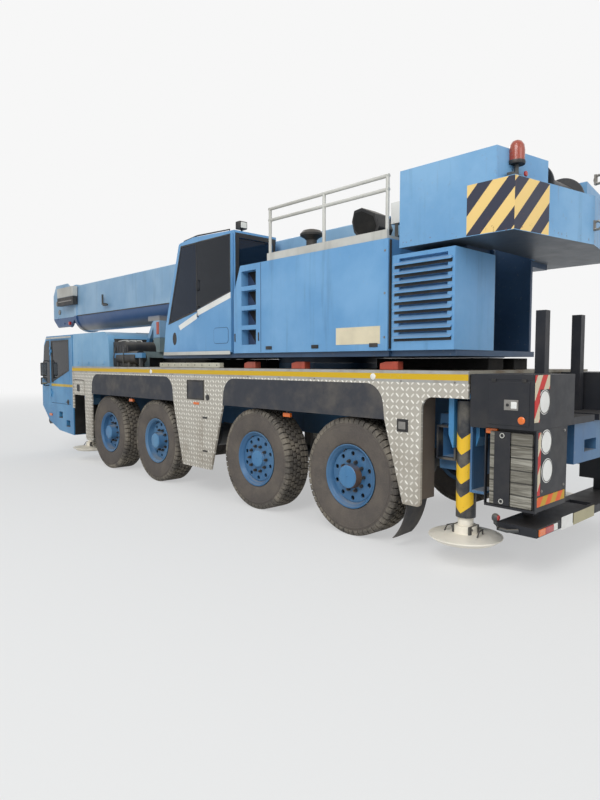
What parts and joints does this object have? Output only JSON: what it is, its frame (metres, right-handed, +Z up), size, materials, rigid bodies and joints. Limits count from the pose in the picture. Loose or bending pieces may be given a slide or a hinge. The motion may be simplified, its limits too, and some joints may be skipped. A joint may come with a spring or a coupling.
{
  "type": "mobile crane",
  "caption": "Mobile crane on a wheeled carrier with a low driver's cab, outriggers, a slewing superstructure with its own cab and a telescopic boom.",
  "frame": {"origin": "on the ground under the middle of the whole machine's box, boom lowered", "axes": "+X forward along the boom, +Y to the machine's left, +Z up"},
  "size_m": [13.17, 3.04, 3.93],
  "materials": {
    "blue_paint": "semi-gloss, faded",
    "cab_blue": "gloss",
    "boom_paint": "semi-gloss, faded",
    "chassis_paint": "satin",
    "fender_plastic": "matt",
    "chequer_plate": "rolled chequer",
    "deck_alloy": "worn",
    "tyre": "worn",
    "rim_paint": "semi-gloss",
    "axle_paint": "dull",
    "outrigger_paint": "satin",
    "foot_paint": "matt",
    "glass": "tinted",
    "seat_fabric": "woven",
    "timber": "weathered",
    "engine_grey": "dull",
    "rail_paint": "matt",
    "winch_paint": "semi-gloss",
    "rod_chrome": "polished"
  },
  "bodies": {
    "carrier": {"chassis_frame": "chassis_paint", "axle_beams": "axle_paint", "deck": "deck_alloy", "fenders": "fender_plastic", "side_panels": "chequer_plate", "driver_cab": "cab_blue", "driver_cab_glass": "glass", "driver_cab_interior": "seat_fabric", "hood": "cab_blue", "engine": "engine_grey", "boom_rest": "blue_paint", "rear_body": "chassis_paint", "timber_blocks": "timber"},
    "wheel_1_left": {"tyre_1_left": "tyre", "rim_1_left": "rim_paint"},
    "knuckle_1_left": {"knuckle_1_left": "axle_paint"},
    "wheel_1_right": {"tyre_1_right": "tyre", "rim_1_right": "rim_paint"},
    "knuckle_1_right": {"knuckle_1_right": "axle_paint"},
    "wheel_2_left": {"tyre_2_left": "tyre", "rim_2_left": "rim_paint"},
    "knuckle_2_left": {"knuckle_2_left": "axle_paint"},
    "wheel_2_right": {"tyre_2_right": "tyre", "rim_2_right": "rim_paint"},
    "knuckle_2_right": {"knuckle_2_right": "axle_paint"},
    "wheel_3_left": {"tyre_3_left": "tyre", "rim_3_left": "rim_paint"},
    "wheel_3_right": {"tyre_3_right": "tyre", "rim_3_right": "rim_paint"},
    "wheel_4_left": {"tyre_4_left": "tyre", "rim_4_left": "rim_paint"},
    "knuckle_4_left": {"knuckle_4_left": "axle_paint"},
    "wheel_4_right": {"tyre_4_right": "tyre", "rim_4_right": "rim_paint"},
    "knuckle_4_right": {"knuckle_4_right": "axle_paint"},
    "outrigger_beam_front_left": {"outrigger_beam_front_left": "outrigger_paint"},
    "outrigger_jack_front_left": {"outrigger_jack_front_left": "foot_paint"},
    "outrigger_beam_front_right": {"outrigger_beam_front_right": "outrigger_paint"},
    "outrigger_jack_front_right": {"outrigger_jack_front_right": "foot_paint"},
    "outrigger_beam_rear_left": {"outrigger_beam_rear_left": "outrigger_paint"},
    "outrigger_jack_rear_left": {"outrigger_jack_rear_left": "foot_paint"},
    "outrigger_beam_rear_right": {"outrigger_beam_rear_right": "outrigger_paint"},
    "outrigger_jack_rear_right": {"outrigger_jack_rear_right": "foot_paint"},
    "driver_door_left": {"driver_door_left": "cab_blue"},
    "driver_door_right": {"driver_door_right": "cab_blue"},
    "superstructure": {"turntable_frame": "blue_paint", "crane_cab": "blue_paint", "crane_cab_glass": "glass", "crane_cab_seat": "seat_fabric", "power_housing": "blue_paint", "guard_rail": "rail_paint", "counterweight": "blue_paint", "hoist_winch": "winch_paint"},
    "crane_cab_door": {"crane_cab_door": "blue_paint"},
    "boom_base": {"boom_base": "boom_paint"},
    "boom_section_1": {"boom_section_1": "boom_paint"},
    "boom_section_2": {"boom_section_2": "boom_paint"},
    "boom_section_3": {"boom_section_3": "boom_paint"},
    "lift_barrel": {"lift_cylinder_barrel": "chassis_paint"},
    "lift_rod": {"lift_cylinder_rod": "rod_chrome"}
  },
  "joints": [
    {"name": "steer_1_left", "type": "hinge", "parent": "carrier", "child": "knuckle_1_left", "pos_m": [1.435, 0.85, 0.665], "axis": [0, 0, 1], "range_deg": [-33, 33]},
    {"name": "roll_1_left", "type": "hinge", "parent": "knuckle_1_left", "child": "wheel_1_left", "pos_m": [1.435, 1.2, 0.665], "axis": [0, 1, 0], "continuous": true},
    {"name": "steer_1_right", "type": "hinge", "parent": "carrier", "child": "knuckle_1_right", "pos_m": [1.435, -0.85, 0.665], "axis": [0, 0, 1], "range_deg": [-33, 33]},
    {"name": "roll_1_right", "type": "hinge", "parent": "knuckle_1_right", "child": "wheel_1_right", "pos_m": [1.435, -1.2, 0.665], "axis": [0, 1, 0], "continuous": true},
    {"name": "steer_2_left", "type": "hinge", "parent": "carrier", "child": "knuckle_2_left", "pos_m": [-0.223, 0.85, 0.665], "axis": [0, 0, 1], "range_deg": [-23.5, 23.5]},
    {"name": "roll_2_left", "type": "hinge", "parent": "knuckle_2_left", "child": "wheel_2_left", "pos_m": [-0.223, 1.2, 0.665], "axis": [0, 1, 0], "continuous": true},
    {"name": "steer_2_right", "type": "hinge", "parent": "carrier", "child": "knuckle_2_right", "pos_m": [-0.223, -0.85, 0.665], "axis": [0, 0, 1], "range_deg": [-23.5, 23.5]},
    {"name": "roll_2_right", "type": "hinge", "parent": "knuckle_2_right", "child": "wheel_2_right", "pos_m": [-0.223, -1.2, 0.665], "axis": [0, 1, 0], "continuous": true},
    {"name": "roll_3_left", "type": "hinge", "parent": "carrier", "child": "wheel_3_left", "pos_m": [-2.777, 1.2, 0.665], "axis": [0, 1, 0], "continuous": true},
    {"name": "roll_3_right", "type": "hinge", "parent": "carrier", "child": "wheel_3_right", "pos_m": [-2.777, -1.2, 0.665], "axis": [0, 1, 0], "continuous": true},
    {"name": "steer_4_left", "type": "hinge", "parent": "carrier", "child": "knuckle_4_left", "pos_m": [-4.435, 0.85, 0.665], "axis": [0, 0, 1], "range_deg": [-18, 18]},
    {"name": "roll_4_left", "type": "hinge", "parent": "knuckle_4_left", "child": "wheel_4_left", "pos_m": [-4.435, 1.2, 0.665], "axis": [0, 1, 0], "continuous": true},
    {"name": "steer_4_right", "type": "hinge", "parent": "carrier", "child": "knuckle_4_right", "pos_m": [-4.435, -0.85, 0.665], "axis": [0, 0, 1], "range_deg": [-18, 18]},
    {"name": "roll_4_right", "type": "hinge", "parent": "knuckle_4_right", "child": "wheel_4_right", "pos_m": [-4.435, -1.2, 0.665], "axis": [0, 1, 0], "continuous": true},
    {"name": "beam_slide_front_left", "type": "slide", "parent": "carrier", "child": "outrigger_beam_front_left", "axis": [0, 1, 0], "range_m": [0, 1.9]},
    {"name": "jack_front_left", "type": "slide", "parent": "outrigger_beam_front_left", "child": "outrigger_jack_front_left", "axis": [0, 0, -1], "range_m": [0, 0.5]},
    {"name": "beam_slide_front_right", "type": "slide", "parent": "carrier", "child": "outrigger_beam_front_right", "axis": [0, -1, 0], "range_m": [0, 1.9]},
    {"name": "jack_front_right", "type": "slide", "parent": "outrigger_beam_front_right", "child": "outrigger_jack_front_right", "axis": [0, 0, -1], "range_m": [0, 0.5]},
    {"name": "beam_slide_rear_left", "type": "slide", "parent": "carrier", "child": "outrigger_beam_rear_left", "axis": [0, 1, 0], "range_m": [0, 1.9]},
    {"name": "jack_rear_left", "type": "slide", "parent": "outrigger_beam_rear_left", "child": "outrigger_jack_rear_left", "axis": [0, 0, -1], "range_m": [0, 0.5]},
    {"name": "beam_slide_rear_right", "type": "slide", "parent": "carrier", "child": "outrigger_beam_rear_right", "axis": [0, -1, 0], "range_m": [0, 1.9]},
    {"name": "jack_rear_right", "type": "slide", "parent": "outrigger_beam_rear_right", "child": "outrigger_jack_rear_right", "axis": [0, 0, -1], "range_m": [0, 0.5]},
    {"name": "driver_door_left_hinge", "type": "hinge", "parent": "carrier", "child": "driver_door_left", "pos_m": [4.326, 1.261, 1.8], "axis": [0, 0, -1], "range_deg": [0, 75]},
    {"name": "driver_door_right_hinge", "type": "hinge", "parent": "carrier", "child": "driver_door_right", "pos_m": [4.326, -1.261, 1.8], "axis": [0, 0, 1], "range_deg": [0, 75]},
    {"name": "slew", "type": "hinge", "parent": "carrier", "child": "superstructure", "pos_m": [-2.895, 0, 1.95], "axis": [0, 0, 1], "continuous": true},
    {"name": "crane_cab_door_slide", "type": "slide", "parent": "superstructure", "child": "crane_cab_door", "axis": [1, 0, 0], "range_m": [0, 0.8]},
    {"name": "boom_luff", "type": "hinge", "parent": "superstructure", "child": "boom_base", "pos_m": [-5.015, 0, 3.3], "axis": [0, -1, 0], "range_deg": [0, 80]},
    {"name": "telescope_1", "type": "slide", "parent": "boom_base", "child": "boom_section_1", "axis": [1, 0, 0], "range_m": [0, 8]},
    {"name": "telescope_2", "type": "slide", "parent": "boom_section_1", "child": "boom_section_2", "axis": [1, 0, 0], "range_m": [0, 8]},
    {"name": "telescope_3", "type": "slide", "parent": "boom_section_2", "child": "boom_section_3", "axis": [1, 0, 0], "range_m": [0, 8]},
    {"name": "lift_barrel_pivot", "type": "hinge", "parent": "superstructure", "child": "lift_barrel", "pos_m": [-2.9, 0, 2.15], "axis": [0, -1, 0], "range_deg": [0, 90]},
    {"name": "lift_rod_slide", "type": "slide", "parent": "lift_barrel", "child": "lift_rod", "axis": [0.9953, 0, 0.0972], "range_m": [0, 3.03]}
  ],
  "couplings": [
    {"joint": "steer_1_right", "follows": "steer_1_left", "ratio": 1},
    {"joint": "steer_2_left", "follows": "steer_1_left", "ratio": 0.7},
    {"joint": "steer_2_right", "follows": "steer_1_left", "ratio": 0.7},
    {"joint": "steer_4_right", "follows": "steer_4_left", "ratio": 1},
    {"joint": "lift_barrel_pivot", "follows": "boom_luff", "ratio": 1.0839},
    {"joint": "lift_rod_slide", "follows": "boom_luff", "m_per_rad": 2.1675}
  ]
}
